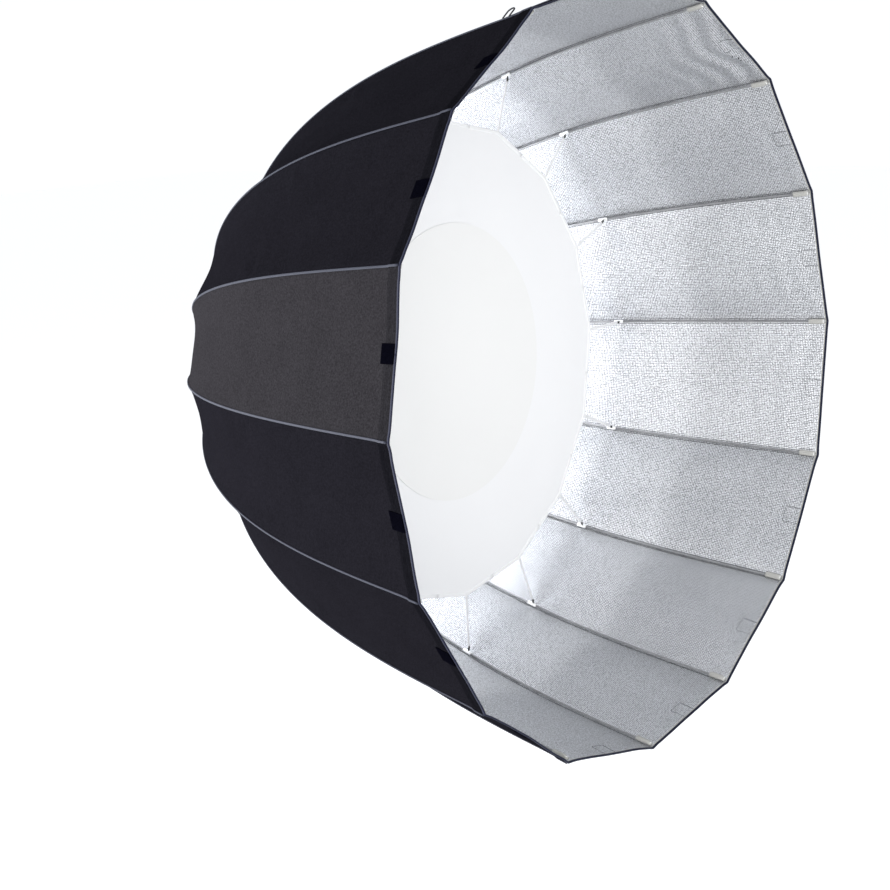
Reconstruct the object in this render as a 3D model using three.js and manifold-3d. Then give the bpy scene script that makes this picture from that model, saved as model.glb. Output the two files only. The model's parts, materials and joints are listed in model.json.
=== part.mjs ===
// Octabox: a deep sixteen-sided umbrella softbox on a rotating speedring.
// Millimetres and degrees. The origin is the centre of the mounting face, the optical axis is Y,
// the mouth faces -Y, +Z is up, and the first rib is at the top.

import * as THREE from 'three';
import { mergeVertices } from 'three/addons/utils/BufferGeometryUtils.js';
import Module from 'manifold-3d';

const wasm = await Module();
wasm.setup();

// Driving dimensions, ribs. A rib is an elastic rod: its slope turns from the base angle to
// the tip angle, fastest at the base, and both angles are measured from the plane of the ring.
const ribCount = 16;
const ribLength = 1622;
const ribBaseAngle = 13.2;
const ribTipAngle = 77.2;
const ribSteps = 20;
const rodRadius = 3;
const hingeDepth = 36;

// Driving dimensions, rib ends.
const ferruleLength = 58;
const ferruleWidth = 8;
const ferruleHeight = 13;
const tipCapLength = 58;
const tipCapWidth = 14;
const tipCapHeight = 6.6;

// Driving dimensions, fabric.
const fabricThickness = 2;
const goreInset = 4;
const goreGap = 0.5;
const tabSize = 44;
const tabThickness = 1.5;
const collarStart = 22;
const collarLength = 72;
const collarSteps = 2;
const diffuserRadius = 626;
const diffuserSetback = 572;
const patchRadius = 360;
const patchThickness = 1.5;
const tabInset = 3;
const loopWidth = 20;
const loopHeight = 14;
const loopLean = 30;
const loopCordRadius = 1.8;
const loopSetback = 83;
const loopSteps = 7;

// Driving dimensions, speedring.
const boreRadius = 62;
const sleeveWall = 5;
const flangeReach = 8;
const flangeThickness = 9;
const spigotWall = 8;
const spigotHeight = 10;
const lugReach = 6;
const lugHeight = 5;
const lugCount = 3;
const lugAngle = 38;
const linerWall = 2;
const crownInnerWall = 18.2;
const crownOuterWall = 18;
const crownThickness = 46;
const coverThickness = 2.5;
const coverReach = 10;
const retainerThickness = 4;
const retainerReach = 7;
const hingeWireRadius = 1.5;
const roundSegments = 48;

// Driving dimensions, rotation lock.
const lockAngle = 101.25;
const lockReach = 10;
const lockPadWidth = 24;
const lockScrewRadius = 3;
const lockHeadRadius = 6;
const lockHeadHeight = 4;
const leverThickness = 7;
const leverHubRadius = 9;
const leverLength = 62;
const leverTipRadius = 5;

// Clearances.
const clearance = 0.4;
const hingeClearance = 0.4;
const slotClearance = 0.5;
const sheetGap = 0.8;
const rodGap = 1.8;

// Lengths that follow.
const ribPitch = 360 / ribCount;
const halfPitch = THREE.MathUtils.degToRad(ribPitch / 2);
const rodToSheet = Math.max(rodRadius, tipCapHeight / 2) + rodGap;
const seamOffset = rodToSheet + fabricThickness;
const goreStart = ferruleLength + goreInset;
const collarOffset = Math.max(seamOffset, ferruleHeight / 2) + 2 * sheetGap;
const sleeveRadius = boreRadius + sleeveWall;
const linerInner = sleeveRadius + clearance;
const linerOuter = linerInner + linerWall;
const crownBore = linerOuter + clearance;
const hingeRadius = crownBore + crownInnerWall;
const crownRadius = hingeRadius + crownOuterWall;
const flangeRadius = hingeRadius + flangeReach;
const coverRadius = hingeRadius + coverReach;
const lockRadius = flangeRadius + lockReach;
const crownBack = flangeThickness + clearance + linerWall + clearance;
const crownFront = crownBack + crownThickness;
const coverBack = crownFront + clearance;
const coverFront = coverBack + coverThickness;
const retainerBack = coverFront + clearance;
const sleeveFront = retainerBack + retainerThickness;

const materials = {
  blackFabric: { color: 0x17181c, roughness: 0.85, metalness: 0 },
  whiteFabric: { color: 0xf4f5f6, roughness: 0.7, metalness: 0 },
  patchFabric: { color: 0xe6e8ea, roughness: 0.75, metalness: 0 },
  hookTape: { color: 0x0c0c0e, roughness: 0.95, metalness: 0 },
  cord: { color: 0x101012, roughness: 0.8, metalness: 0 },
  rod: { color: 0x8d9196, roughness: 0.45, metalness: 0.6 },
  aluminium: { color: 0xaeb1b5, roughness: 0.35, metalness: 1 },
  blackMetal: { color: 0x1d1e21, roughness: 0.45, metalness: 0.6 },
  nylon: { color: 0xd9d7cf, roughness: 0.5, metalness: 0 },
  steel: { color: 0xb9bcc0, roughness: 0.3, metalness: 1 },
  blackPlastic: { color: 0x151517, roughness: 0.5, metalness: 0 },
};

const octabox = new THREE.Group();

// Adds a named mesh to the model, or to one of its groups.
function add(name, geometry, material, parent = octabox) {
  const mesh = new THREE.Mesh(geometry, new THREE.MeshStandardMaterial(materials[material]));
  mesh.name = name;
  parent.add(mesh);
  return mesh;
}

// A two-digit number for the names of repeated pieces.
function numbered(name, index) {
  return `${name}_${String(index + 1).padStart(2, '0')}`;
}

// Shared vertices only, with the faces pointing out.
function closed(geometry) {
  geometry.deleteAttribute('normal');
  geometry.deleteAttribute('uv');
  const merged = mergeVertices(geometry, 1e-4);
  const p = merged.attributes.position;
  const index = merged.index.array;
  const a = new THREE.Vector3();
  const b = new THREE.Vector3();
  const c = new THREE.Vector3();
  const kept = [];
  let volume = 0;
  for (let i = 0; i < index.length; i += 3) {
    if (index[i] === index[i + 1] || index[i + 1] === index[i + 2] || index[i] === index[i + 2]) continue;
    kept.push(index[i], index[i + 1], index[i + 2]);
    a.fromBufferAttribute(p, index[i]);
    b.fromBufferAttribute(p, index[i + 1]);
    c.fromBufferAttribute(p, index[i + 2]);
    volume += a.dot(b.cross(c));
  }
  merged.setIndex(volume < 0 ? kept.reverse() : kept);
  return merged;
}

function toSolid(geometry) {
  const shape = closed(geometry);
  return new wasm.Manifold(new wasm.Mesh({
    numProp: 3,
    vertProperties: new Float32Array(shape.attributes.position.array),
    triVerts: new Uint32Array(shape.index.array),
  }));
}

function toGeometry(solid) {
  const mesh = solid.getMesh();
  const geometry = new THREE.BufferGeometry();
  geometry.setAttribute('position', new THREE.BufferAttribute(mesh.vertProperties, 3));
  geometry.setIndex(new THREE.BufferAttribute(mesh.triVerts, 1));
  return geometry;
}

// A ring about the Y axis from [radius, depth] corners; depth runs forward, towards the mouth.
function ring(corners) {
  const points = [...corners, corners[0]].map(([radius, depth]) => new THREE.Vector2(radius, -depth));
  return closed(new THREE.LatheGeometry(points, roundSegments));
}

// A ring of rectangular section.
function flatRing(inner, outer, back, front) {
  return ring([[inner, back], [outer, back], [outer, front], [inner, front]]);
}

// A closed skin over sections of equal length; each section is a list of points.
function loft(sections, capTriangles) {
  const sides = sections[0].length;
  const index = [];
  for (let j = 0; j + 1 < sections.length; j += 1) {
    for (let i = 0; i < sides; i += 1) {
      const next = (i + 1) % sides;
      const a = j * sides + i;
      const b = j * sides + next;
      index.push(a, b, b + sides, a, b + sides, a + sides);
    }
  }
  const last = (sections.length - 1) * sides;
  for (const [a, b, c] of capTriangles) {
    index.push(c, b, a, last + a, last + b, last + c);
  }
  const geometry = new THREE.BufferGeometry();
  geometry.setAttribute('position', new THREE.Float32BufferAttribute(
    sections.flat().flatMap((point) => point.toArray()), 3));
  geometry.setIndex(index);
  return closed(geometry);
}

// The rib's slope, as an angle from the plane of the ring, at a share of its length.
function ribAngle(share) {
  const turned = (ribTipAngle - ribBaseAngle) * (2 * share - share * share);
  return THREE.MathUtils.degToRad(ribBaseAngle + turned);
}

// The rod's centre line by midpoint steps: radius and depth at even shares of its length.
const ribTable = [{ radius: hingeRadius, depth: hingeDepth }];
const tableSteps = ribSteps * 16;
for (let i = 0; i < tableSteps; i += 1) {
  const angle = ribAngle((i + 0.5) / tableSteps);
  const step = ribLength / tableSteps;
  const { radius, depth } = ribTable[i];
  ribTable.push({ radius: radius + step * Math.cos(angle), depth: depth + step * Math.sin(angle) });
}

// A point beside the rod at a distance along it, outward of its centre line by the offset.
function ribPoint(distance, offset = 0) {
  const place = THREE.MathUtils.clamp(distance / ribLength, 0, 1) * tableSteps;
  const i = Math.min(Math.floor(place), tableSteps - 1);
  const angle = ribAngle(place / tableSteps);
  const radius = THREE.MathUtils.lerp(ribTable[i].radius, ribTable[i + 1].radius, place - i);
  const depth = THREE.MathUtils.lerp(ribTable[i].depth, ribTable[i + 1].depth, place - i);
  return { radius: radius + offset * Math.sin(angle), depth: depth - offset * Math.cos(angle), angle };
}

const rimDepth = ribPoint(ribLength).depth;

// The rod's centre line in the plane of the first rib.
class RodCurve extends THREE.Curve {
  constructor(from, to) {
    super();
    this.from = from;
    this.to = to;
  }

  getPoint(share, target = new THREE.Vector3()) {
    const { radius, depth } = ribPoint(THREE.MathUtils.lerp(this.from, this.to, share));
    return target.set(0, -depth, radius);
  }
}

// Sets a shape on the rod at a distance along it: its Z runs along the rod and its Y points back.
function setOnRod(geometry, distance) {
  const { radius, depth, angle } = ribPoint(distance);
  geometry.rotateX(angle);
  geometry.translate(0, -depth, radius);
  return geometry;
}

// A box along the rod, centred at a distance along it.
function boxOnRod(width, length, height, distance) {
  return setOnRod(new THREE.BoxGeometry(width, height, length), distance);
}

// A cylinder across the rib plane, on the rib's hinge.
function hingeCylinder(radius, width, segments) {
  const cylinder = new THREE.CylinderGeometry(radius, radius, width, segments);
  cylinder.rotateZ(Math.PI / 2);
  cylinder.translate(0, -hingeDepth, hingeRadius);
  return cylinder;
}

// A rib: the rod, the flat ferrule with its hinge eye, and the cap that sits in the rim pocket.
function makeRib() {
  const profile = new THREE.Shape();
  profile.absarc(0, 0, rodRadius, 0, 2 * Math.PI, false);
  const rodStart = ferruleLength / 2;
  const rodEnd = ribLength - tipCapLength / 2;
  const rod = new THREE.ExtrudeGeometry(profile, {
    steps: ribSteps,
    curveSegments: 3,
    extrudePath: new RodCurve(rodStart, rodEnd),
  });
  const ferrule = boxOnRod(ferruleWidth, ferruleLength, ferruleHeight, ferruleLength / 2);
  const eye = hingeCylinder(ferruleHeight / 2, ferruleWidth, 16);
  const cap = boxOnRod(tipCapWidth, tipCapLength, tipCapHeight, ribLength - tipCapLength / 2);
  const hole = hingeCylinder(hingeWireRadius + hingeClearance, ferruleWidth * 2, 10);
  return toGeometry(toSolid(rod).add(toSolid(ferrule)).add(toSolid(eye)).add(toSolid(cap))
    .subtract(toSolid(hole)));
}

// A point of the fabric: side -1 and 1 are the middles of the two flat panels that meet on the
// rib's seam, which is side 0.
function sheetPoint(distance, offset, side) {
  const { radius, depth } = ribPoint(distance, offset);
  const reach = radius * Math.cos(halfPitch) * Math.sin(halfPitch) - goreGap / 2;
  const across = side * reach;
  const drop = Math.abs(across) * Math.tan(halfPitch);
  return new THREE.Vector3(across, -depth, radius - drop);
}

// A gore: the fabric carried by one rib, out to the middles of its two panels.
function makeGore() {
  const sections = [];
  for (let j = 0; j <= ribSteps; j += 1) {
    const distance = THREE.MathUtils.lerp(goreStart, ribLength, j / ribSteps);
    sections.push([
      sheetPoint(distance, seamOffset, -1),
      sheetPoint(distance, seamOffset, 0),
      sheetPoint(distance, seamOffset, 1),
      sheetPoint(distance, rodToSheet, 1),
      sheetPoint(distance, rodToSheet, 0),
      sheetPoint(distance, rodToSheet, -1),
    ]);
  }
  return loft(sections, [[0, 1, 4], [0, 4, 5], [1, 2, 3], [1, 3, 4]]);
}

// A hook-tape tab on the middle of a panel, against the rim, along the last stretch of fabric.
function makeTab() {
  const step = (ribLength - goreStart) / ribSteps;
  const inner = ribPoint(ribLength - step, seamOffset);
  const outer = ribPoint(ribLength, seamOffset);
  const rise = outer.depth - inner.depth;
  const run = (outer.radius - inner.radius) * Math.cos(halfPitch);
  const tab = new THREE.BoxGeometry(tabSize, tabThickness, tabSize);
  tab.translate(0, sheetGap + tabThickness / 2, -tabInset - tabSize / 2);
  tab.rotateX(Math.atan2(rise, run));
  tab.translate(0, -outer.depth, outer.radius * Math.cos(halfPitch));
  return closed(tab);
}

// A short cord loop that stands on a seam near the rim and leans towards it.
function makeLoop() {
  const foot = ribPoint(ribLength - loopSetback, seamOffset + sheetGap + loopCordRadius);
  const points = [];
  for (let i = 0; i <= loopSteps; i += 1) {
    const turn = Math.PI * i / loopSteps;
    const along = Math.sin(turn) * loopLean - Math.cos(turn) * loopWidth / 2;
    points.push(new THREE.Vector3(0, Math.sin(turn) * loopHeight, along));
  }
  const profile = new THREE.Shape();
  profile.absarc(0, 0, loopCordRadius, 0, 2 * Math.PI, false);
  const loop = new THREE.ExtrudeGeometry(profile, {
    steps: 2 * loopSteps,
    curveSegments: 3,
    extrudePath: new THREE.CatmullRomCurve3(points),
  });
  loop.rotateX(foot.angle);
  loop.translate(0, -foot.depth, foot.radius);
  return closed(loop);
}

// The ring that locks on the lamp: flange, sleeve, bayonet spigot with lugs, and the lock's pad.
function makeBayonetRing() {
  const flange = flatRing(boreRadius, flangeRadius, 0, flangeThickness);
  const sleeve = flatRing(boreRadius, sleeveRadius, flangeThickness / 2, sleeveFront);
  const spigotRadius = boreRadius + spigotWall;
  const spigot = flatRing(boreRadius, spigotRadius, -spigotHeight, flangeThickness / 2);
  let body = toSolid(flange).add(toSolid(sleeve)).add(toSolid(spigot));
  for (let i = 0; i < lugCount; i += 1) {
    const lugSpan = THREE.MathUtils.degToRad(lugAngle);
    const lug = new THREE.Shape();
    lug.absarc(0, 0, spigotRadius + lugReach, -lugSpan / 2, lugSpan / 2, false);
    lug.absarc(0, 0, boreRadius + spigotWall / 2, lugSpan / 2, -lugSpan / 2, true);
    const block = new THREE.ExtrudeGeometry(lug, { depth: lugHeight, bevelEnabled: false, curveSegments: 6 });
    block.rotateX(-Math.PI / 2);
    block.rotateY(2 * Math.PI * i / lugCount);
    block.translate(0, spigotHeight - lugHeight, 0);
    body = body.add(toSolid(block));
  }
  const padReach = lockRadius + lockPadWidth / 2 - flangeRadius / 2;
  const pad = new THREE.BoxGeometry(lockPadWidth, flangeThickness, padReach);
  pad.translate(0, -flangeThickness / 2, flangeRadius / 2 + padReach / 2);
  const bore = flatRing(boreRadius / 4, boreRadius, -spigotHeight * 2, sleeveFront * 2);
  const hole = new THREE.CylinderGeometry(lockScrewRadius + clearance, lockScrewRadius + clearance,
    flangeThickness * 4, 24);
  hole.translate(0, 0, lockRadius);
  const turn = THREE.MathUtils.degToRad(lockAngle);
  pad.rotateY(turn);
  hole.rotateY(turn);
  return toGeometry(body.add(toSolid(pad).subtract(toSolid(bore))).subtract(toSolid(hole)));
}

// The nylon liner that the crown turns on: a sleeve with a washer at its back.
function makeLiner() {
  const washerBack = flangeThickness + clearance;
  const washerFront = washerBack + linerWall;
  return ring([
    [linerInner, washerBack],
    [flangeRadius - clearance, washerBack],
    [flangeRadius - clearance, washerFront],
    [linerOuter, washerFront],
    [linerOuter, crownFront],
    [linerInner, crownFront],
  ]);
}

// The rotating crown: a thick ring with a slot and a hinge channel for every rib. The floor of
// each slot lies along the open rib, so it is the rib's stop.
function makeCrown() {
  let body = toSolid(flatRing(crownBore, crownRadius, crownBack, crownFront));
  const slotWidth = ferruleWidth + 2 * slotClearance;
  const slotBack = ferruleHeight / 2 + slotClearance;
  const slotInner = ferruleLength / 2 + ferruleHeight / 2 + slotClearance;
  for (let i = 0; i < ribCount; i += 1) {
    const slot = new THREE.BoxGeometry(slotWidth, slotBack + crownThickness, slotInner + crownRadius);
    slot.translate(0, (slotBack - crownThickness) / 2, (crownRadius - slotInner) / 2);
    setOnRod(slot, ferruleLength / 2);
    slot.rotateY(THREE.MathUtils.degToRad(ribPitch * i));
    body = body.subtract(toSolid(slot));
  }
  return toGeometry(body.subtract(toSolid(hingeTorus(hingeWireRadius + hingeClearance))));
}

// A torus on the hinges of all the ribs.
function hingeTorus(radius) {
  const torus = new THREE.TorusGeometry(hingeRadius, radius, 6, roundSegments);
  torus.rotateX(Math.PI / 2);
  torus.translate(0, -hingeDepth, 0);
  return closed(torus);
}

// The fabric collar that closes the back of the shell round the crown.
function makeCollar() {
  const corners = [];
  for (let j = 0; j <= collarSteps; j += 1) {
    const { radius, depth } = ribPoint(collarStart + collarLength * j / collarSteps, collarOffset);
    corners.push([radius, depth]);
  }
  for (let j = collarSteps; j >= 0; j -= 1) {
    const distance = collarStart + collarLength * j / collarSteps;
    const { radius, depth } = ribPoint(distance, collarOffset + fabricThickness);
    corners.push([radius, depth]);
  }
  return ring(corners);
}

// The lever that clamps the crown, lying along the back of the pad.
function makeLever() {
  const outline = new THREE.Shape();
  outline.absarc(0, 0, leverHubRadius, Math.PI / 2, 3 * Math.PI / 2, false);
  outline.lineTo(leverLength, -leverTipRadius);
  outline.absarc(leverLength, 0, leverTipRadius, -Math.PI / 2, Math.PI / 2, false);
  const hole = new THREE.Path();
  hole.absarc(0, 0, lockScrewRadius + clearance, 0, 2 * Math.PI, true);
  outline.holes.push(hole);
  const lever = new THREE.ExtrudeGeometry(outline,
    { depth: leverThickness, bevelEnabled: false, curveSegments: 8 });
  lever.rotateX(-Math.PI / 2);
  lever.translate(0, clearance, 0);
  return closed(lever);
}

// The lock's screw: a head over the lever and a shank through the pad.
function makeLockScrew() {
  const back = leverThickness + 2 * clearance;
  const points = [
    [0, back + lockHeadHeight],
    [lockHeadRadius, back + lockHeadHeight],
    [lockHeadRadius, back],
    [lockScrewRadius, back],
    [lockScrewRadius, -flangeThickness],
    [0, -flangeThickness],
  ].map(([radius, height]) => new THREE.Vector2(radius, height));
  return closed(new THREE.LatheGeometry(points, 24));
}

// A thin disc across the optical axis, with a corner at the first rib.
function disc(radius, thickness, depth, segments) {
  const sheet = new THREE.CylinderGeometry(radius, radius, thickness, segments);
  sheet.translate(0, -depth - thickness / 2, 0);
  return closed(sheet);
}

// Speedring
add('bayonet_ring', makeBayonetRing(), 'aluminium');
add('slide_liner', makeLiner(), 'nylon');
add('crown', makeCrown(), 'blackMetal');
add('hinge_wire', hingeTorus(hingeWireRadius), 'steel');
add('crown_cover', flatRing(crownBore + clearance, coverRadius, coverBack, coverFront), 'blackMetal');
add('retaining_ring', flatRing(sleeveRadius + clearance, sleeveRadius + retainerReach,
  retainerBack, sleeveFront), 'steel');

const lock = new THREE.Group();
lock.rotation.y = THREE.MathUtils.degToRad(lockAngle);
octabox.add(lock);
const lever = add('lock_lever', makeLever(), 'blackPlastic', lock);
lever.position.z = lockRadius;
const lockScrew = add('lock_screw', makeLockScrew(), 'steel', lock);
lockScrew.position.z = lockRadius;

// Ribs, fabric and rim tabs
const rib = makeRib();
const gore = makeGore();
const tab = makeTab();
for (let i = 0; i < ribCount; i += 1) {
  const turn = THREE.MathUtils.degToRad(ribPitch * i);
  add(numbered('rib', i), rib, 'rod').rotation.y = turn;
  add(numbered('gore', i), gore, 'blackFabric').rotation.y = turn;
  add(numbered('rim_tab', i), tab, 'hookTape').rotation.y = turn + halfPitch;
}
add('hanging_loop', makeLoop(), 'cord').rotation.y = THREE.MathUtils.degToRad(-ribPitch);
add('rear_collar', makeCollar(), 'blackFabric');

// Inner diffuser
const diffuserDepth = rimDepth - diffuserSetback;
add('inner_diffuser', disc(diffuserRadius, fabricThickness, diffuserDepth, ribCount), 'whiteFabric');
const patchDepth = diffuserDepth + fabricThickness + sheetGap;
add('centre_patch', disc(patchRadius, patchThickness, patchDepth, roundSegments), 'patchFabric');

export default octabox;
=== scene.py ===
import json
import math

import bmesh
import bpy
import numpy as np
from mathutils import Matrix, Vector, noise


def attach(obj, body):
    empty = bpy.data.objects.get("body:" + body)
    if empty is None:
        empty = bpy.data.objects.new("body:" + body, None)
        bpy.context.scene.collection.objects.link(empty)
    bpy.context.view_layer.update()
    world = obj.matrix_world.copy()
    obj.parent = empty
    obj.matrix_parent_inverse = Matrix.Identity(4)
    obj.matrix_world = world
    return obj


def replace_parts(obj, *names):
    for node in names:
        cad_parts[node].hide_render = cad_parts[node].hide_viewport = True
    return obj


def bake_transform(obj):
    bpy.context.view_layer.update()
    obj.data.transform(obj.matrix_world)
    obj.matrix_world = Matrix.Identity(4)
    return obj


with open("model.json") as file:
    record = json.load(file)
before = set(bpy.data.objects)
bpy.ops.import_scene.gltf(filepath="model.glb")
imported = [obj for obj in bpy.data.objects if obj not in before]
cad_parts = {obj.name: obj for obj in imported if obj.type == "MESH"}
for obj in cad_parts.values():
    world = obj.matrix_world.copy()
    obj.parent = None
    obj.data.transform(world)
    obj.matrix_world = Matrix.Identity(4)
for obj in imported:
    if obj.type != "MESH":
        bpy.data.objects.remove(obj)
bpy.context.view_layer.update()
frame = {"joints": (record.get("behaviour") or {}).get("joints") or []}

# The octabox's looks. Lengths are in metres and angles in degrees unless a name says otherwise.
# The origin is the centre of the mounting face, the mouth faces -Y, and +Z is up.

# The ribs' curve, as in the CAD model.
RIBS = 16
PITCH = 2 * math.pi / RIBS
HALF = PITCH / 2
RIB_LENGTH = 1.622
BASE_ANGLE = math.radians(13.2)
TIP_ANGLE = math.radians(77.2)
ROD_RADIUS = 0.003
SEAM_OFFSET = 0.0071
CURVE_STEPS = 1600

# Cloth, and what is sewn on it.
SHELL_START = 0.034
SHELL_THICKNESS = 0.0012
SHELL_COLUMNS = 14
SHELL_ROWS = 140
HEM_WIDTH = 0.037
HEM_THICKNESS = 0.001
HEM_ROLL = 0.0011
HEM_ROWS = 12
HEM_COLUMNS = 120
BINDING_WIDTH = 0.0056
BINDING_HEIGHT = 0.0030
BINDING_SETBACK = 0.003
BINDING_STEPS = 160
PIPING_WIDTH = 0.0066
PIPING_HEIGHT = 0.0046
EDGE_WIDTH = 0.0030
EDGE_HEIGHT = 0.0012
EDGE_SETBACK = 0.0042
EDGE_DROP = 0.0003
# The dark threads are real stitching, and also painted shadow lines beside each rod, placed by the next
# two numbers.
DARK_LINE_RADIUS = 0.00055
ROD_SHADOW_LINE_OFFSET = 0.0065
ROD_SHADOW_LINE_START = 0.075
TAB_THREAD_SETBACK = 0.006
DIFFUSER_RADIUS = 0.626
DIFFUSER_SETBACK = 0.572
DIFFUSER_THICKNESS = 0.0012
DIFFUSER_BOW = 0.004
DIFFUSER_HEM_WIDTH = 0.010
DIFFUSER_HEM_HEIGHT = 0.0036
PATCH_RADIUS = 0.36
PATCH_LIFT = 0.0022
CENTRE_HOLE = 0.0015
CLIP_DISTANCE_FROM_TIP = 0.600
STRAP_WIDTH = 0.010
STRAP_THICKNESS = 0.0012
STRAP_WAIST = 0.25
STRAP_START = 0.004
SLEEVE_BACK = 0.016
SLEEVE_AHEAD = 0.010
SLEEVE_WIDTH = 0.0100
SLEEVE_HEIGHT = 0.0088
HOOK_REACH = 0.011
HOOK_WIDTH = 0.006
HOOK_HEIGHT = 0.0045
POCKET_LENGTH = 0.050
POCKET_WIDTH = 0.0145
POCKET_HEIGHT = 0.0098
POCKET_SETBACK = 0.0065
POCKET_TAPER = 0.42
TAB_SIZE = 0.044
TAB_INSET = 0.003
TAB_THICKNESS = 0.0014
COLLAR_START = 0.022
COLLAR_LENGTH = 0.072
COLLAR_OFFSET = 0.0087
COLLAR_THICKNESS = 0.0014
COLLAR_GATHER = 0.0009
COLLAR_HEM = 0.0006
FERRULE_LENGTH = 0.058
FERRULE_WIDTH = 0.008
FERRULE_HEIGHT = 0.013
FERRULE_MOUTH = 0.72
FERRULE_TAPER = 0.008
ROD_IN_FERRULE = 0.015
ROD_SETBACK = 0.012
CAP_LENGTH = 0.040
CAP_SETBACK = 0.008
CAP_WIDTH = 0.012
CAP_HEIGHT = 0.0064
LOOP_SETBACK = 0.083
LOOP_WIDTH = 0.020
LOOP_HEIGHT = 0.014
LOOP_LEAN = 0.030
LOOP_DIAMETER = 0.0036
SHEET_GAP = 0.0008

# How the shell's cloth stands off its flat panels: heights, and how far each effect reaches.
SAG = 0.009
RIM_SAG = 0.0015
FOLD_HEIGHT = 0.0038
FOLDS_ROUND = 6.5
FOLDS_DEEP = 1.3
CREASE_HEIGHT = 0.0013
CREASES_ACROSS = 11
CREASES_DEEP = 5
CREASES_OUT = 3
GATHER_HEIGHT = 0.0048
GATHER_DIP = 0.0012
GATHER_RAYS = 5
GATHER_REACH = 0.075
GATHER_START = 0.035
SLACK_HEIGHT = 0.0046
TAUT_HEIGHT = 0.0006
SLACK_PITCH = 0.062
SLACK_REACH = 0.20
TIP_LIFT = 0.0022
TIP_REACH = 0.045
TIP_HALF_WIDTH = 0.014

# How far the folded cloth would turn, as pleat works it out: the room it keeps to next door, and the turn
# it may take.
PLEAT_SEAM_ROOM = 0.72
PLEAT_CLEARANCE = 0.997
PLEAT_LIMIT = math.radians(115)
PLEAT_STEPS = 26

# The speedring: radii from the optical axis, and depths in front of the mounting face.
BORE_RADIUS = 0.062
SLEEVE_RADIUS = 0.067
SPIGOT_RADIUS = 0.070
SPIGOT_HEIGHT = 0.010
LUG_RADIUS = 0.076
LUG_HEIGHT = 0.005
LUG_ANGLE = math.radians(38)
LUG_ROOT = 0.002
FLANGE_RADIUS = 0.096
FLANGE_THICKNESS = 0.009
LINER_INNER = 0.0674
LINER_OUTER = 0.0694
WASHER_THICKNESS = 0.002
CROWN_BORE = 0.0698
CROWN_RADIUS = 0.106
CROWN_BACK = 0.0118
CROWN_FRONT = 0.0578
COVER_RADIUS = 0.098
COVER_BACK = 0.0582
COVER_FRONT = 0.0607
RETAINER_RADIUS = 0.074
RETAINER_BACK = 0.0611
SLEEVE_FRONT = 0.0651
HINGE_WIRE_RADIUS = 0.0015
GAP = 0.0004
SLOT_GAP = 0.0005
SLOT_LENGTH = 0.09
SLOT_HEIGHT = 0.07
LOCK_ANGLE = math.radians(101.25)
LOCK_RADIUS = 0.106
LOCK_PAD_WIDTH = 0.024
LOCK_PAD_START = 0.080
LEVER_LENGTH = 0.062
LEVER_THICKNESS = 0.007
LEVER_HEAD_RADIUS = 0.009
LEVER_TIP_RADIUS = 0.005
LEVER_GROOVES = 5
SCREW_HEAD_RADIUS = 0.006
SCREW_HEAD_HEIGHT = 0.004

joints = {joint["name"]: joint for joint in frame["joints"]}


def numbered(name, k):
    return f"{name}_{k + 1:02d}"


# ---------------------------------------------------------------- geometry of the frame

first_hinge = joints["rib_fold_01"]["pos_m"]
HINGE_RADIUS = first_hinge[2]
HINGE_DEPTH = -first_hinge[1]
FOLD = math.radians(joints["rib_fold_01"]["range_deg"][1])


def slope(share):
    """The rod's angle from the plane of the ring, at a share of its length."""
    return BASE_ANGLE + (TIP_ANGLE - BASE_ANGLE) * (2 * share - share * share)


middles = slope((np.arange(CURVE_STEPS) + 0.5) / CURVE_STEPS)
step = RIB_LENGTH / CURVE_STEPS
curve_radius = HINGE_RADIUS + np.concatenate([[0], np.cumsum(np.cos(middles) * step)])
curve_depth = HINGE_DEPTH + np.concatenate([[0], np.cumsum(np.sin(middles) * step)])
curve_distance = np.linspace(0, RIB_LENGTH, CURVE_STEPS + 1)


def beside_rod(distance, offset=0.0):
    """Radius, depth and angle of points beside the rod, outward of it by the offset."""
    distance = np.asarray(distance, float)
    angle = slope(np.clip(distance / RIB_LENGTH, 0, 1))
    radius = np.interp(distance, curve_distance, curve_radius) + offset * np.sin(angle)
    depth = np.interp(distance, curve_distance, curve_depth) - offset * np.cos(angle)
    past = np.maximum(distance - RIB_LENGTH, 0)
    return radius + past * np.cos(angle), depth + past * np.sin(angle), angle


def turned(points, k):
    """Points of the first rib's frame, where the rib lies in the plane x = 0, turned to rib k."""
    points = np.asarray(points, float)
    c, s = math.cos(k * PITCH), math.sin(k * PITCH)
    x, y, z = points[..., 0], points[..., 1], points[..., 2]
    return np.stack([x * c + z * s, y, z * c - x * s], -1)


# A panel lies between the rib of its own index and the next one. One is of greyer cloth.
GREY_PANEL = 12
FOLDED_PANEL = 1
RIM_DEPTH = float(beside_rod(RIB_LENGTH, SEAM_OFFSET)[1])
DIFFUSER_DEPTH = float(curve_depth[-1]) - DIFFUSER_SETBACK
CLIP_DISTANCE = RIB_LENGTH - CLIP_DISTANCE_FROM_TIP


def cloth_noise(points):
    """Broad folds that run from crown to rim, and smaller creases, each about -1 to 1."""
    folds, creases = [], []
    for x, y, z in points.reshape(-1, 3):
        azimuth, radius = math.atan2(x, z), math.hypot(x, z)
        folds.append(noise.noise(Vector((math.cos(azimuth) * FOLDS_ROUND,
                                         math.sin(azimuth) * FOLDS_ROUND, y * FOLDS_DEEP))))
        creases.append(noise.noise(Vector((x * CREASES_ACROSS, y * CREASES_DEEP + radius * CREASES_OUT,
                                           z * CREASES_ACROSS))))
    shape = points.shape[:-1]
    return np.reshape(folds, shape), np.reshape(creases, shape)


def tip_rise(back):
    """How far the pocket over the rod's tip lifts what lies on its seam."""
    return TIP_LIFT * np.exp(-(back / TIP_REACH) ** 2)


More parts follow.
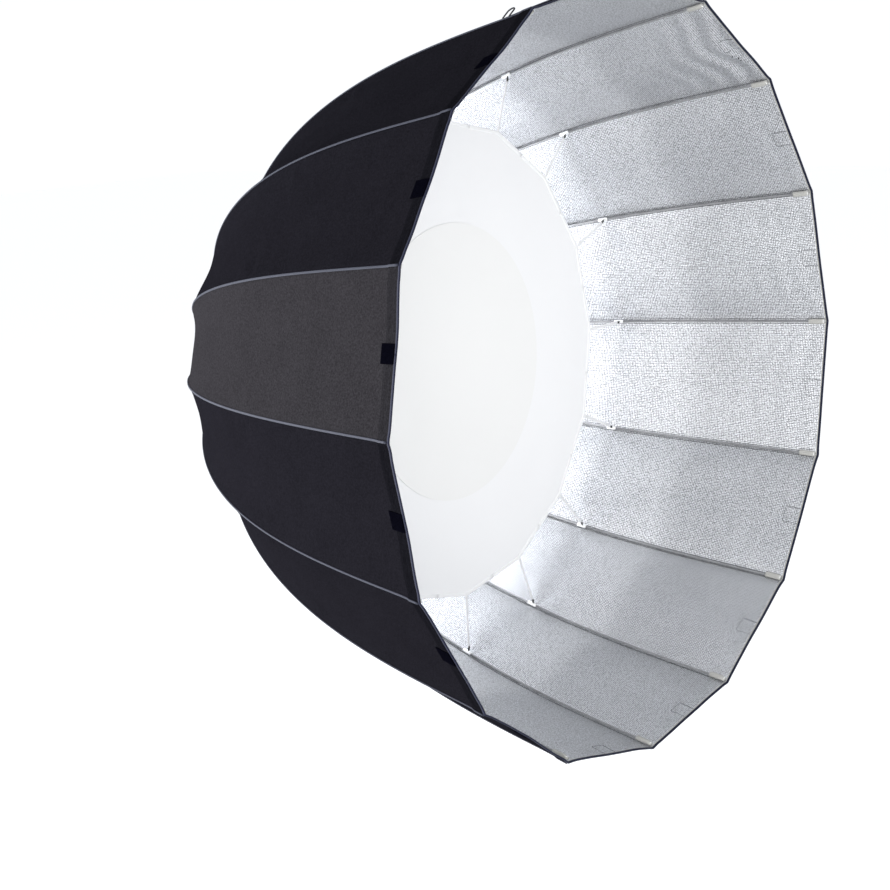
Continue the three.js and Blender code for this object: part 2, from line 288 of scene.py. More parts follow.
def relief(points, distance, side, folded):
    """How far the cloth stands off its flat panel, outward positive, in metres."""
    across = np.abs(side)
    share = np.clip(distance / RIB_LENGTH, 0, 1)
    back = RIB_LENGTH - distance
    aside = side * beside_rod(distance)[0] * math.sin(HALF)
    free = np.clip(across * 5, 0, 1)
    folds, creases = cloth_noise(points)
    out = -(SAG * np.sin(math.pi * share) ** 0.8 + RIM_SAG) * (2 * across - across ** 2)
    out += (FOLD_HEIGHT * folds + CREASE_HEIGHT * creases) * free
    # Gathers spread from each strap clip, where the lining is pulled towards the rod.
    ahead = distance - CLIP_DISTANCE
    spread = np.hypot(ahead, aside)
    near = np.exp(-(spread / GATHER_REACH) ** 2) * (1 - np.exp(-(spread / GATHER_START) ** 2))
    rays = GATHER_HEIGHT * np.sin(GATHER_RAYS * np.arctan2(aside, ahead) + 0.8) - GATHER_DIP
    out += rays * near * np.clip(np.abs(aside) / 0.03, 0, 1)
    # Slack cloth lies in folds along the rim, most of all on one panel.
    drift = 0.6 * (1 - across) ** 2 + 0.8 * folds
    wave = np.sin(2 * math.pi * (back / SLACK_PITCH + drift)) * np.exp(-(back / SLACK_REACH) ** 2)
    at_edge = np.sin(math.pi * np.clip(back / 0.05, 0, 0.5))
    out += np.where(folded, SLACK_HEIGHT, TAUT_HEIGHT) * wave * at_edge * free
    return out + tip_rise(back) * np.exp(-(aside / TIP_HALF_WIDTH) ** 2)


def panel_points(k, distance, side, lift):
    """Points on the two panels that meet on rib k's seam; side -1 and 1 are their middles."""
    distance, side = np.broadcast_arrays(np.asarray(distance, float), np.asarray(side, float))
    radius, depth, angle = beside_rod(distance, SEAM_OFFSET)
    x = side * radius * math.cos(HALF) * math.sin(HALF)
    z = radius - np.abs(x) * math.tan(HALF)
    points = turned(np.stack([x, -depth, z], -1), k)
    folded = ((k == FOLDED_PANEL) & (side > 0)) | ((k == FOLDED_PANEL + 1) & (side < 0))
    stand = relief(points, distance, side, folded) + lift
    return points + panel_normal(k, angle, side) * stand[..., None]


def panel_normal(k, angle, side):
    """Outward unit normal of a flat panel, blended to the rib's own plane at its seam."""
    lean = np.sign(side) * HALF * np.clip(np.abs(side) * 8, 0, 1)
    run, rise = np.cos(angle), np.sin(angle)
    tilt = np.arctan2(rise, run * math.cos(HALF))
    local = np.stack([np.sin(lean) * np.sin(tilt), np.cos(tilt), np.cos(lean) * np.sin(tilt)], -1)
    return turned(local, k)


# ---------------------------------------------------------------- mesh helpers

def new_object(name, vertices, faces, smooth=True):
    mesh = bpy.data.meshes.new(name)
    mesh.from_pydata([tuple(map(float, v)) for v in vertices], [], [tuple(map(int, f)) for f in faces])
    mesh.validate()
    mesh.update()
    if smooth:
        mesh.shade_smooth()
    piece = bpy.data.objects.new(name, mesh)
    bpy.context.scene.collection.objects.link(piece)
    return piece


def grid_faces(rows, columns, start=0, flip=False, closed=False):
    """Quads of a grid of vertices held row by row; a closed grid joins its last column to its first."""
    faces = []
    span = columns if closed else columns - 1
    for r in range(rows - 1):
        for c in range(span):
            d = (c + 1) % columns
            quad = (start + r * columns + c, start + r * columns + d,
                    start + (r + 1) * columns + d, start + (r + 1) * columns + c)
            faces.append(quad[::-1] if flip else quad)
    return faces


def sheet_solid(name, outer, inner):
    """A closed thin solid between two grids of points; returns it with its outer faces first."""
    rows, columns = outer.shape[:2]
    count = rows * columns
    vertices = np.concatenate([outer.reshape(-1, 3), inner.reshape(-1, 3)])
    faces = grid_faces(rows, columns)
    faces += grid_faces(rows, columns, count, flip=True)
    border = [(0, c) for c in range(columns)]
    border += [(r, columns - 1) for r in range(1, rows)]
    border += [(rows - 1, c) for c in range(columns - 2, -1, -1)]
    border += [(r, 0) for r in range(rows - 2, 0, -1)]
    ring = [r * columns + c for r, c in border]
    for a, b in zip(ring, ring[1:] + ring[:1]):
        faces.append((b, a, a + count, b + count))
    piece = new_object(name, vertices, faces)
    piece.data.set_sharp_from_angle(angle=math.radians(50))
    return piece


def tube(name, path, outline):
    """A closed tube: an outline of (across, up) points carried along a path of (point, across, up)."""
    sides = len(outline)
    vertices = []
    for point, across, up in path:
        vertices += [point + across * a + up * b for a, b in outline]
    last = (len(path) - 1) * sides
    faces = grid_faces(len(path), sides, closed=True)
    faces += [tuple(range(sides))[::-1], tuple(range(last, last + sides))]
    piece = new_object(name, vertices, faces)
    fix_normals(piece)
    return piece


def fix_normals(piece):
    work = bmesh.new()
    work.from_mesh(piece.data)
    bmesh.ops.recalc_face_normals(work, faces=work.faces)
    work.to_mesh(piece.data)
    work.free()


def round_outline(radius, sides=12):
    return [(radius * math.cos(2 * math.pi * i / sides), radius * math.sin(2 * math.pi * i / sides))
            for i in range(sides)]


def soft_outline(width, height, corner, steps=4):
    """A rounded rectangle, counter-clockwise."""
    points = []
    for cx, cy, start in ((1, 1, 0), (-1, 1, 90), (-1, -1, 180), (1, -1, 270)):
        for i in range(steps + 1):
            a = math.radians(start + 90 * i / steps)
            points.append((cx * (width / 2 - corner) + corner * math.cos(a),
                           cy * (height / 2 - corner) + corner * math.sin(a)))
    return points


def apply_modifiers(piece):
    graph = bpy.context.evaluated_depsgraph_get()
    mesh = bpy.data.meshes.new_from_object(piece.evaluated_get(graph))
    piece.modifiers.clear()
    piece.data = mesh


def bevelled(piece, width, segments=2, angle=35):
    modifier = piece.modifiers.new("bevel", "BEVEL")
    modifier.width, modifier.segments = width, segments
    modifier.limit_method, modifier.angle_limit = "ANGLE", math.radians(angle)
    apply_modifiers(piece)
    piece.data.shade_smooth()
    piece.data.set_sharp_from_angle(angle=math.radians(50))
    return piece


def lathe(name, corners, segments=144):
    """A ring about the optical axis from its section's (radius, depth) corners."""
    vertices = []
    for i in range(segments):
        turn = 2 * math.pi * i / segments
        vertices += [(r * math.sin(turn), -depth, r * math.cos(turn)) for r, depth in corners]
    count = len(corners)
    faces = grid_faces(segments, count, closed=True)
    last = (segments - 1) * count
    for c in range(count):
        d = (c + 1) % count
        faces.append((last + c, last + d, d, c))
    piece = new_object(name, vertices, faces, smooth=False)
    fix_normals(piece)
    return piece


def flat_ring(name, inner, outer, rear, front):
    return lathe(name, [(inner, rear), (outer, rear), (outer, front), (inner, front)])


def prism(name, outline, low, high, place):
    """A closed prism over an outline of (a, b) points, from low to high; place maps (a, b, height)."""
    count = len(outline)
    vertices = [place(a, b, low) for a, b in outline] + [place(a, b, high) for a, b in outline]
    faces = [tuple(range(count))[::-1], tuple(range(count, 2 * count))]
    faces += [(i, (i + 1) % count, (i + 1) % count + count, i + count) for i in range(count)]
    piece = new_object(name, vertices, faces, smooth=False)
    fix_normals(piece)
    return piece


def joined(piece, *others):
    """Adds other meshes to a piece's mesh and removes them."""
    work = bmesh.new()
    for part in (piece, *others):
        work.from_mesh(part.data)
    work.to_mesh(piece.data)
    work.free()
    for part in others:
        bpy.data.objects.remove(part)
    return piece


def cut(piece, cutter):
    modifier = piece.modifiers.new("cut", "BOOLEAN")
    modifier.operation, modifier.solver, modifier.object = "DIFFERENCE", "EXACT", cutter
    apply_modifiers(piece)
    bpy.data.objects.remove(cutter)


def arc(radius, start, end, steps, centre=(0.0, 0.0)):
    turns = np.linspace(start, end, steps + 1)
    return [(centre[0] + radius * math.cos(t), centre[1] + radius * math.sin(t)) for t in turns]


def frames_along(points, sideways):
    """(point, across, up) along a smooth line of points, with across near a given direction."""
    points = np.asarray(points, float)
    along = np.gradient(points, axis=0)
    along /= np.linalg.norm(along, axis=1)[:, None]
    frames = []
    for point, forward in zip(points, along):
        up = np.cross(forward, sideways)
        up /= np.linalg.norm(up)
        frames.append((point, np.cross(up, forward), up))
    return frames


def rib_path(k, start, end, steps, offset=0.0):
    """(point, across, up) along rib k; across is tangential and up is outward."""
    path = []
    for distance in np.linspace(start, end, steps + 1):
        radius, depth, angle = beside_rod(distance, offset)
        point = turned((0, -depth, radius), k)
        up = turned((0, math.cos(angle), math.sin(angle)), k)
        path.append((point, turned((1, 0, 0), k), up))
    return path


# ---------------------------------------------------------------- how far cloth would turn with the fold, worked out and not applied

chord = np.array([0.0, -(curve_depth[-1] - curve_depth[0]), curve_radius[-1] - curve_radius[0]])
chord /= np.linalg.norm(chord)
hinge_point = np.array([0.0, -HINGE_DEPTH, HINGE_RADIUS])


def spun(points, axis, angle):
    """Points turned about an axis through the hinge, each by its own angle."""
    v = points - hinge_point
    c, s = np.cos(angle)[:, None], np.sin(angle)[:, None]
    return hinge_point + v * c + np.cross(axis, v) * s + np.outer(v @ axis, axis) * (1 - c)


def local_points(piece, k):
    count = len(piece.data.vertices)
    co = np.empty(count * 3)
    piece.data.vertices.foreach_get("co", co)
    return turned(co.reshape(-1, 3), -k)


def pleat(piece, k):
    """Works out how far each point of rib k's cloth would turn outward with its flap before the panels'
    middles meet those next door, after baking the piece's transform; the turns are not applied.
    """
    rib, flap = numbered("rib", k), numbered("flap", k)
    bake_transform(piece)
    points = local_points(piece, k)
    right = points.copy()
    right[:, 0] = np.abs(right[:, 0])
    room = right[:, 2] * math.tan(HALF)
    across = np.clip(right[:, 0] / np.maximum(room, 1e-6), 0, 1)
    keep = (PLEAT_SEAM_ROOM + (1 - PLEAT_SEAM_ROOM) * across) * PLEAT_CLEARANCE
    low, high = np.zeros(len(points)), np.full(len(points), PLEAT_LIMIT)
    fold_axis = np.array([1.0, 0.0, 0.0])
    fold = np.full(len(points), FOLD)
    for _ in range(PLEAT_STEPS):
        middle = (low + high) / 2
        folded = spun(spun(right, chord, middle), fold_axis, fold)
        outside = folded[:, 0] > keep * folded[:, 2] * math.tan(HALF)
        low = np.where(outside, middle, low)
        high = np.where(outside, high, middle)


def gather(piece, k):
    """Bakes the transform of rib k's piece of diffuser cloth and reads its points in the rib's frame; it
    moves nothing.
    """
    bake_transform(piece)
    points = local_points(piece, k)


# ---------------------------------------------------------------- materials

class Nodes:
    """A material's node tree, with short ways to add and join nodes."""

    def __init__(self, name, color, roughness, metallic=0.0, **settings):
        self.material = bpy.data.materials.new(name)
        self.material.use_nodes = True
        self.tree = self.material.node_tree
        self.shader = self.tree.nodes["Principled BSDF"]
        self.set("Base Color", (*color, 1))
        self.set("Roughness", roughness)
        self.set("Metallic", metallic)
        for socket, value in settings.items():
            self.set(socket.replace("_", " "), value)

    def set(self, socket, value):
        self.shader.inputs[socket].default_value = value

    def add(self, kind, inputs=None, **properties):
        node = self.tree.nodes.new(kind)
        for key, value in properties.items():
            setattr(node, key, value)
        for key, value in (inputs or {}).items():
            if isinstance(value, bpy.types.NodeSocket):
                self.tree.links.new(value, node.inputs[key])
            else:
                node.inputs[key].default_value = value
        return node

    def math(self, operation, a, b):
        return self.add("ShaderNodeMath", {0: a, 1: b}, operation=operation).outputs[0]

    def coordinates(self):
        return self.add("ShaderNodeTexCoord").outputs["Object"]

    def cloth(self):
        return self.add("ShaderNodeUVMap", uv_map="cloth").outputs["UV"]

    def noise(self, vector, scale, detail=3.0, roughness=0.55):
        inputs = {"Vector": vector, "Scale": scale, "Detail": detail, "Roughness": roughness}
        return self.add("ShaderNodeTexNoise", inputs).outputs["Fac"]

    def ramp(self, factor, stops):
        node = self.add("ShaderNodeValToRGB", {"Fac": factor})
        elements = node.color_ramp.elements
        while len(elements) < len(stops):
            elements.new(0.5)
        for element, (place, color) in zip(elements, stops):
            element.position = place
            element.color = (*color, 1)
        return node.outputs["Color"]

    def weave(self, vector, pitch):
        """Threads over and under at a pitch in metres."""
        waves = []
        for direction in ("X", "Y"):
            inputs = {"Vector": vector, "Scale": math.pi / 10 / pitch, "Distortion": 0.0}
            wave = self.add("ShaderNodeTexWave", inputs, wave_type="BANDS", bands_direction=direction)
            waves.append(wave.outputs["Fac"])
        return self.math("MULTIPLY", *waves)

    def bump(self, height, distance, strength, below=None):
        inputs = {"Height": height, "Distance": distance, "Strength": strength}
        if below is not None:
            inputs["Normal"] = below
        return self.add("ShaderNodeBump", inputs).outputs["Normal"]

    def link(self, output, socket):
        self.tree.links.new(output, self.shader.inputs[socket])


def shades(color, low, high, spread=0.25, middle=0.5):
    """Two stops of a ramp, spread about its middle, that scale a colour."""
    dark, light = tuple(c * low for c in color), tuple(c * high for c in color)
    return [(middle - spread, dark), (middle + spread, light)]


def black_cloth(name, color, pitch=0.0011):
    m = Nodes(name, color, 0.9, Specular_IOR_Level=0.0)
    at = m.coordinates()
    grain, cloud = m.noise(at, 230, 4, 0.75), m.noise(at, 9, 3)
    mixed = m.math("ADD", m.math("MULTIPLY", grain, 0.9), m.math("MULTIPLY", cloud, 0.1))
    m.link(m.ramp(mixed, shades(color, 0.62, 1.4, 0.14)), "Base Color")
    threads = m.bump(m.weave(m.cloth(), pitch), 0.0004, 0.6)
    m.link(m.bump(grain, 0.0006, 0.5, threads), "Normal")
    return m.material


def silver_cloth():
    """Foil-faced cloth with a fine, nearly regular pebbled emboss; its colour carries painted shade
    between the pebbles and a painted highlight on their tops.
    """
    color = (0.495, 0.507, 0.530)
    m = Nodes("silver_lining", color, 0.36, metallic=0.72)
    at, flat = m.coordinates(), m.cloth()
    pebbles = m.add("ShaderNodeTexVoronoi", {"Vector": flat, "Scale": 212.0, "Randomness": 0.28},
                    feature="F1").outputs["Distance"]
    mottle, cloud = m.noise(at, 420, 2, 0.5), m.noise(at, 5, 3)
    # Painted shade and painted highlight: the colour is darker between the pebbles and lighter on their
    # tops.
    painted_pebble_shade = m.math("MULTIPLY", pebbles, 0.86)
    grain = m.math("MULTIPLY", mottle, 0.06)
    tone_and_painted_shade = m.math("ADD", grain, m.math("ADD", m.math("MULTIPLY", cloud, 0.08), painted_pebble_shade))
    m.link(m.ramp(tone_and_painted_shade, shades(color, 1.50, 0.36, 0.17, 0.42)), "Base Color")
    m.link(m.bump(mottle, 0.0004, 0.4, m.bump(pebbles, 0.0018, 0.7)), "Normal")
    return m.material


def white_cloth(name, color, glow):
    """Diffusion cloth; its glow is painted light, an emission that stands in for the lamp light coming
    through from the chamber behind it.
    """
    m = Nodes(name, color, 0.9, Specular_IOR_Level=0.2)
    m.set("Emission Color", (1, 1, 1, 1))
    m.set("Emission Strength", glow)
    cloud = m.noise(m.coordinates(), 3, 2)
    m.link(m.ramp(cloud, shades(color, 0.985, 1.01)), "Base Color")
    m.link(m.bump(m.weave(m.cloth(), 0.0009), 0.0002, 0.4), "Normal")
    return m.material


def tape(name, color, pitch=0.0012, roughness=0.7):
    m = Nodes(name, color, roughness, Specular_IOR_Level=0.2)
    at = m.coordinates()
    grain = m.noise(at, 500, 3, 0.6)
    m.link(m.ramp(grain, shades(color, 0.75, 1.3)), "Base Color")
    m.link(m.bump(m.weave(at, pitch), 0.0004, 0.6), "Normal")
    return m.material


def hooks(name, color):
    m = Nodes(name, color, 0.95, Specular_IOR_Level=0.0)
    at = m.coordinates()
    loops = m.add("ShaderNodeTexVoronoi", {"Vector": at, "Scale": 700.0}).outputs["Distance"]
    m.link(m.ramp(loops, shades(color, 0.6, 1.8)), "Base Color")
    m.link(m.bump(loops, 0.0012, 0.9), "Normal")
    return m.material


def metal(name, color, roughness):
    m = Nodes(name, color, roughness, metallic=1.0)
    at = m.coordinates()
    stretched = m.add("ShaderNodeMapping", {"Vector": at, "Scale": (1, 30, 1)}).outputs[0]
    brush, wear = m.noise(stretched, 60, 4, 0.6), m.noise(at, 35, 4)
    m.link(m.ramp(wear, shades(color, 0.85, 1.08)), "Base Color")
    m.link(m.math("ADD", m.math("MULTIPLY", brush, 0.22), roughness - 0.11), "Roughness")
    m.link(m.bump(brush, 0.0002, 0.25), "Normal")
    return m.material


def painted(name, color, roughness=0.5, grain_scale=900):
    m = Nodes(name, color, roughness)
    at = m.coordinates()
    grain, wear = m.noise(at, grain_scale, 3, 0.6), m.noise(at, 25, 4)
    m.link(m.ramp(wear, shades(color, 0.8, 1.25)), "Base Color")
    m.link(m.math("ADD", m.math("MULTIPLY", grain, 0.2), roughness - 0.1), "Roughness")
    m.link(m.bump(grain, 0.0003, 0.4), "Normal")
    return m.material


BLACK = (0.0066, 0.0064, 0.0085)
MAT = {
    "black": black_cloth("black_cloth", BLACK),
    "grey_panel": black_cloth("grey_panel_cloth", (0.0175, 0.0167, 0.0190)),
    "hem": black_cloth("hem_tape", (0.0042, 0.0042, 0.0056), 0.0016),
    "grey_hem": black_cloth("grey_hem_cloth", (0.0125, 0.0121, 0.0140), 0.0016),
    "collar": black_cloth("collar_cloth", (0.0060, 0.0060, 0.0076), 0.0013),
    "silver": silver_cloth(),
    "binding": tape("seam_binding", (0.0235, 0.0265, 0.0400)),
    "piping": tape("rim_piping", (0.0070, 0.0088, 0.0235)),
    # The glow of the diffuser and its patch is painted light from the chamber behind them.
    "diffuser": white_cloth("diffuser_cloth", (0.70, 0.706, 0.716), glow=0.105),
    "patch": white_cloth("patch_cloth", (0.69, 0.694, 0.689), glow=0.095),
    "elastic": tape("white_elastic", (0.72, 0.725, 0.74), 0.0014, 0.75),
    "pocket": tape("pocket_cloth", (0.36, 0.36, 0.345), 0.0012, 0.8),
    # The dark thread also draws the painted shadow lines beside the rods.
    "thread": tape("thread_and_painted_shadow_lines", (0.05, 0.052, 0.06), 0.0008),
    "hook_tape": hooks("hook_tape", (0.0010, 0.0010, 0.0022)),
    "rod": painted("rod_coating", (0.20, 0.205, 0.215), 0.4, 500),
    "clip": painted("white_clip", (0.75, 0.76, 0.77), 0.45),
    "black_plastic": painted("black_plastic", (0.012, 0.012, 0.013), 0.5),
    "aluminium": metal("cast_aluminium", (0.40, 0.405, 0.415), 0.42),
    "crown": painted("crown_paint", (0.018, 0.018, 0.02), 0.5, 1400),
    "steel": metal("turned_steel", (0.60, 0.61, 0.63), 0.3),
    "nylon": painted("nylon", (0.74, 0.73, 0.69), 0.45),
    "cord": tape("black_cord", (0.01, 0.01, 0.012), 0.0012),
}


def dress(piece, material):
    piece.data.materials.clear()
    piece.data.materials.append(MAT[material])


def fasten(piece, material, body, node=None):
    """Dresses a rigid piece, puts it on its body and lets it stand for a CAD node, if it has one."""
    dress(piece, material)
    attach(piece, body)
    if node:
        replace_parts(piece, node)


# ---------------------------------------------------------------- the shell

def cloth_uv(piece, across, along):
    """Gives both faces of a sheet their cloth coordinates, in metres."""
    uv = np.stack([across, along], -1).reshape(-1, 2).astype(np.float32)
    layer = piece.data.uv_layers.new(name="cloth")
    index = np.empty(len(piece.data.loops), int)
    piece.data.loops.foreach_get("vertex_index", index)
    layer.data.foreach_set("uv", np.concatenate([uv, uv])[index].ravel())


def sew(piece, material, k):
    """Dresses a piece of rib k's cloth and passes it to pleat, which bakes its transform."""
    dress(piece, material)
    pleat(piece, k)


def strip(name, k, distances, sides, top, bottom):
    """A closed strip of cloth on rib k's panels, between two heights over the shell's outer face."""
    distance, side = np.meshgrid(distances, sides, indexing="ij")
    outer, inner = (panel_points(k, distance, side, lift) for lift in (top, bottom))
    piece = sheet_solid(name, outer, inner)
    cloth_uv(piece, side * beside_rod(distance)[0] * math.sin(HALF), distance)
    return piece


def make_shell(k):
    sides = np.linspace(-1, 1, 2 * SHELL_COLUMNS + 1)
    distances = np.linspace(SHELL_START, RIB_LENGTH, SHELL_ROWS + 1)
    piece = strip(numbered("shell", k), k, distances, sides, 0.0, -SHELL_THICKNESS)
    dress(piece, "black")
    for extra in ("silver", "grey_panel"):
        piece.data.materials.append(MAT[extra])
    face_count = 2 * SHELL_COLUMNS * SHELL_ROWS
    slots = np.zeros(len(piece.data.polygons), int)
    slots[face_count:2 * face_count] = 1
    grey_side = {GREY_PANEL: 1, GREY_PANEL + 1: -1}.get(k)
    if grey_side:
        columns = np.tile(np.arange(2 * SHELL_COLUMNS), SHELL_ROWS)
        slots[:face_count][(columns >= SHELL_COLUMNS) == (grey_side > 0)] = 2
    piece.data.polygons.foreach_set("material_index", slots)
    pleat(piece, k)
    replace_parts(piece, numbered("gore", k))

    hem_sides = np.linspace(-1, 1, HEM_COLUMNS + 1)
    hem_distances = np.linspace(RIB_LENGTH - HEM_WIDTH, RIB_LENGTH - SHEET_GAP, HEM_ROWS + 1)
    rolls = HEM_THICKNESS + HEM_ROLL * np.sin(np.linspace(0, 2 * math.pi, HEM_ROWS + 1)) ** 2
    hem = strip(numbered("hem", k), k, hem_distances, hem_sides, rolls[:, None], 0.0001)
    dress(hem, "hem")
    hem.data.materials.append(MAT["grey_hem"])
    if grey_side:
        columns = np.tile(np.arange(HEM_COLUMNS), HEM_ROWS)
        slots = np.zeros(len(hem.data.polygons), int)
        slots[:len(columns)] = (columns >= HEM_COLUMNS // 2) == (grey_side > 0)
        hem.data.polygons.foreach_set("material_index", slots)
    pleat(hem, k)


def make_binding(k):
    """The tape folded over the seam between two gores, which passes over the hem at the rim."""
    end = RIB_LENGTH - BINDING_SETBACK
    distances = np.linspace(SHELL_START, end, BINDING_STEPS + 1)
    over_hem = np.where(RIB_LENGTH - distances < HEM_WIDTH + 0.004, HEM_THICKNESS + HEM_ROLL, 0.0)
    lifts = tip_rise(RIB_LENGTH - distances) + over_hem
    seam = rib_path(k, SHELL_START, end, BINDING_STEPS, SEAM_OFFSET + GAP)
    path = [(point + up * lift, across, up) for (point, across, up), lift in zip(seam, lifts)]
    outline = soft_outline(BINDING_WIDTH, BINDING_HEIGHT, BINDING_HEIGHT * 0.45)
    piece = tube(numbered("seam_binding", k), path, outline)
    fasten(piece, "binding", numbered("rib", k))


def make_piping(k):
    """The piping on the rim, and the lining's turned edge inside it."""
    sides = np.linspace(-1, 1, 61)
    at_rim = np.full(sides.shape, RIB_LENGTH)
    ahead = turned((0, -math.sin(TIP_ANGLE), math.cos(TIP_ANGLE)), k)
    outer = frames_along(panel_points(k, at_rim, sides, -SHELL_THICKNESS / 2), ahead)
    piece = tube(numbered("rim_piping", k), outer, soft_outline(PIPING_WIDTH, PIPING_HEIGHT, 0.002, 3))
    sew(piece, "piping", k)
    inside = panel_points(k, at_rim - EDGE_SETBACK, sides, -SHELL_THICKNESS - EDGE_DROP)
    edge = tube(numbered("lining_edge", k), frames_along(inside, ahead),
                soft_outline(EDGE_WIDTH, EDGE_HEIGHT, 0.0005, 2))
    sew(edge, "pocket", k)


def stitch_and_shadow_line(name, k, line):
    """A dark line on the lining through (distance, side) points: real stitching, and also the painted
    shadow lines beside the rod.
    """
    distance, side = np.array(line).T
    steps = np.linspace(0, len(line) - 1, (len(line) - 1) * 12 + 1)
    index = np.arange(len(line))
    distance, side = np.interp(steps, index, distance), np.interp(steps, index, side)
    points = panel_points(k, distance, side, -SHELL_THICKNESS - DARK_LINE_RADIUS * 0.4)
    rod_up = turned((0, math.cos(TIP_ANGLE), math.sin(TIP_ANGLE)), k)
    along = np.gradient(points, axis=0)
    along /= np.linalg.norm(along, axis=1)[:, None]
    frames = []
    for point, forward in zip(points, along):
        across = np.cross(rod_up, forward)
        across /= np.linalg.norm(across)
        frames.append((point, across, np.cross(forward, across)))
    sew(tube(name, frames, round_outline(DARK_LINE_RADIUS, 6)), "thread", k)


def make_shadow_lines_and_stitching(k):
    """Dark threads beside the rod, which are painted shadow lines for the shade along it, and the square
    of stitching sewn behind each rim tab.
    """
    # These two dark threads are painted shadow lines, not stitching.
    stitch_and_shadow_line(numbered("rod_shadow_line_a", k), k, rod_shadow_line_points(-ROD_SHADOW_LINE_OFFSET))
    stitch_and_shadow_line(numbered("rod_shadow_line_b", k), k, rod_shadow_line_points(ROD_SHADOW_LINE_OFFSET))
    radius = float(beside_rod(RIB_LENGTH - TAB_SIZE / 2)[0]) * math.sin(HALF)
    edge = 1 - TAB_SIZE / 2 / radius
    near, far = RIB_LENGTH - TAB_THREAD_SETBACK, RIB_LENGTH - TAB_INSET - TAB_SIZE
    for end, letter in ((1, "a"), (-1, "b")):
        line = [(near, end * edge), (far, end * edge), (far, end)]
        stitch_and_shadow_line(numbered(f"tab_thread_{letter}", k), k, line)


def rod_shadow_line_points(across):
    """(distance, side) points of a painted shadow line beside the rod, from the collar to the pocket over
    its tip.
    """
    distances = np.linspace(ROD_SHADOW_LINE_START, RIB_LENGTH - POCKET_LENGTH, 12)
    return [(d, across / (float(beside_rod(d)[0]) * math.sin(HALF))) for d in distances]


# ---------------------------------------------------------------- ribs and what is on them

def at_hinge(k):
    """Maps (along, rise, across) from rib k's hinge to the object's frame."""
    c, s = math.cos(BASE_ANGLE), math.sin(BASE_ANGLE)
    return lambda along, rise, across: turned((across, -HINGE_DEPTH - along * s + rise * c,
                                               HINGE_RADIUS + along * c + rise * s), k)


def make_rod(k):
    rib = numbered("rib", k)
    rod_path = rib_path(k, FERRULE_LENGTH - ROD_IN_FERRULE, RIB_LENGTH - ROD_SETBACK, 96)
    rod = tube(numbered("rod", k), rod_path, round_outline(ROD_RADIUS, 14))
    fasten(rod, "rod", rib, rib)
    cap_path = rib_path(k, RIB_LENGTH - CAP_SETBACK - CAP_LENGTH, RIB_LENGTH - CAP_SETBACK, 10)
    cap = tube(numbered("tip_cap", k), cap_path, soft_outline(CAP_WIDTH, CAP_HEIGHT, 0.0028))
    fasten(bevelled(cap, 0.0012), "clip", rib)
    half, taper_start = FERRULE_HEIGHT / 2, FERRULE_LENGTH - FERRULE_TAPER
    mouth = half * FERRULE_MOUTH
    outline = [(FERRULE_LENGTH, -mouth), (FERRULE_LENGTH, mouth), (taper_start, half)]
    outline += arc(half, math.pi / 2, 3 * math.pi / 2, 16)
    outline += [(taper_start, -half)]
    ferrule = prism(numbered("ferrule", k), outline, -FERRULE_WIDTH / 2, FERRULE_WIDTH / 2, at_hinge(k))
    fasten(bevelled(ferrule, 0.0009), "steel", rib)


def make_pocket(k):
    """The pocket of light cloth over the rod's tip, thinner over its last quarter."""
    path = []
    rings = rib_path(k, RIB_LENGTH - POCKET_LENGTH, RIB_LENGTH - POCKET_SETBACK, 16, -0.0012)
    for i, (point, across, up) in enumerate(rings):
        taper = 1 - POCKET_TAPER * max(0, i - 12) / 4
        path.append((point + up * POCKET_HEIGHT / 2 * (1 - taper), across, up * taper))
    piece = tube(numbered("tip_pocket", k), path, soft_outline(POCKET_WIDTH, POCKET_HEIGHT, 0.0042))
    fasten(piece, "pocket", numbered("rib", k))


def make_clip(k):
    """The sleeve on the rod, its hook, and the elastic strap to the diffuser's corner."""
    rib = numbered("rib", k)
    sleeve_path = rib_path(k, CLIP_DISTANCE - SLEEVE_BACK, CLIP_DISTANCE + SLEEVE_AHEAD, 6, -0.0008)
    sleeve = tube(numbered("strap_clip", k), sleeve_path,
                  soft_outline(SLEEVE_WIDTH, SLEEVE_HEIGHT, 0.0038))
    fasten(bevelled(sleeve, 0.001), "clip", rib)
    point, across, up = rib_path(k, CLIP_DISTANCE, CLIP_DISTANCE + 0.001, 1)[0]
    corner = turned((0, -DIFFUSER_DEPTH - 0.001, DIFFUSER_RADIUS - 0.006), k)
    start = point - up * HOOK_REACH
    towards = corner - start
    length = np.linalg.norm(towards)
    towards /= length
    side = np.cross(towards, across)
    hook = tube(numbered("strap_hook", k),
                [(point - up * 0.003, across, up), (point - up * 0.007, across, towards),
                 (start, across, side), (start + towards * 0.008, across, side)],
                soft_outline(HOOK_WIDTH, HOOK_HEIGHT, 0.0018))
    fasten(hook, "black_plastic", rib)
    path = []
    for share in np.linspace(0, 1, 15):
        place = start + towards * (STRAP_START + (length - STRAP_START) * share)
        width = 1 - STRAP_WAIST * math.sin(math.pi * share)
        path.append((place, across * width, side))
    strap = tube(numbered("strap", k), path, soft_outline(STRAP_WIDTH, STRAP_THICKNESS, 0.0005, 2))
    fasten(strap, "elastic", rib)


# ---------------------------------------------------------------- the inner diffuser

